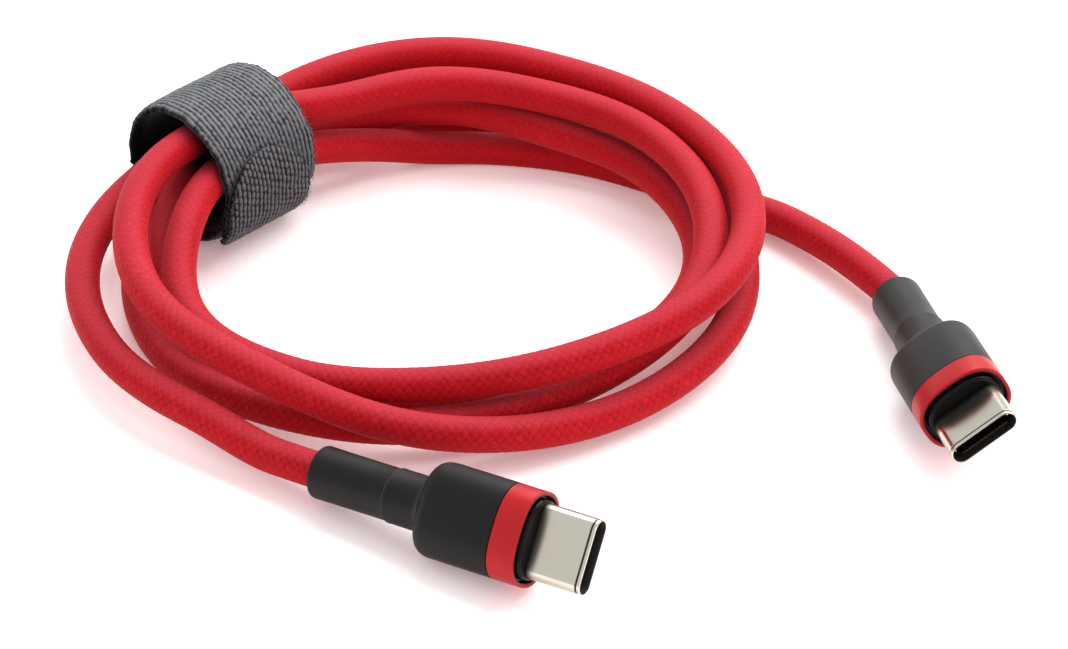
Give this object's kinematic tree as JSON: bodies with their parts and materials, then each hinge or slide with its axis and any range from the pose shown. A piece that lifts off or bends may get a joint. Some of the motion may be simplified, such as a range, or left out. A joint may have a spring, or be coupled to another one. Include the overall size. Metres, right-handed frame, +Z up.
{
  "type": "charging cable",
  "caption": "Braided red charging cable wound into a flat coil under a grey hook-and-loop strap, with a moulded black plug, red trim ring and flat oval metal shell on each end.",
  "frame": {"origin": "on the table, under the middle of the whole part", "axes": "+Z up from the table; the coil's strap is at the back left, -X +Y, and both plugs point to the front, -Y, on the right"},
  "size_m": [0.1048, 0.0987, 0.0176],
  "materials": {
    "braid": "red woven braid, matte with a soft sheen",
    "soft_black": "soft-touch charcoal",
    "gloss_black": "polished black",
    "red_metal": "satin red anodised",
    "nickel": "smooth satin nickel plate",
    "steel": "bare spring steel",
    "gold": "gold plate on a moulded wafer",
    "board": "green solder mask",
    "resin": "moulded black resin",
    "jacket": "smooth black jacket",
    "hook_loop": "grey ribbed loop tape"
  },
  "bodies": {
    "cable": {"cord_coil": "braid", "cord_left_tail": "braid", "cord_right_tail": "braid", "left_plug_shell": "nickel", "left_upper_contacts": "gold", "left_lower_contacts": "gold", "left_latch_spring": "steel", "left_upper_ground_spring": "steel", "left_lower_ground_spring": "steel", "left_paddle_card": "board", "left_shield_can": "steel", "left_inner_mould": "resin", "left_plug_body": "soft_black", "left_trim_ring": "red_metal", "left_front_bezel": "gloss_black", "left_strain_relief": "soft_black", "left_crimp_ferrule": "steel", "left_cable_core": "jacket", "right_plug_shell": "nickel", "right_upper_contacts": "gold", "right_lower_contacts": "gold", "right_latch_spring": "steel", "right_upper_ground_spring": "steel", "right_lower_ground_spring": "steel", "right_paddle_card": "board", "right_shield_can": "steel", "right_inner_mould": "resin", "right_plug_body": "soft_black", "right_trim_ring": "red_metal", "right_front_bezel": "gloss_black", "right_strain_relief": "soft_black", "right_crimp_ferrule": "steel", "right_cable_core": "jacket", "strap_band": "hook_loop"},
    "tab": {"strap_tab": "hook_loop"}
  },
  "joints": [
    {"name": "strap_tab_peel", "type": "hinge", "parent": "cable", "child": "tab", "pos_m": [-0.03177, 0.02455, 0.00175], "axis": [0.6896, 0.7242, 0], "range_deg": [0, 55]}
  ]
}
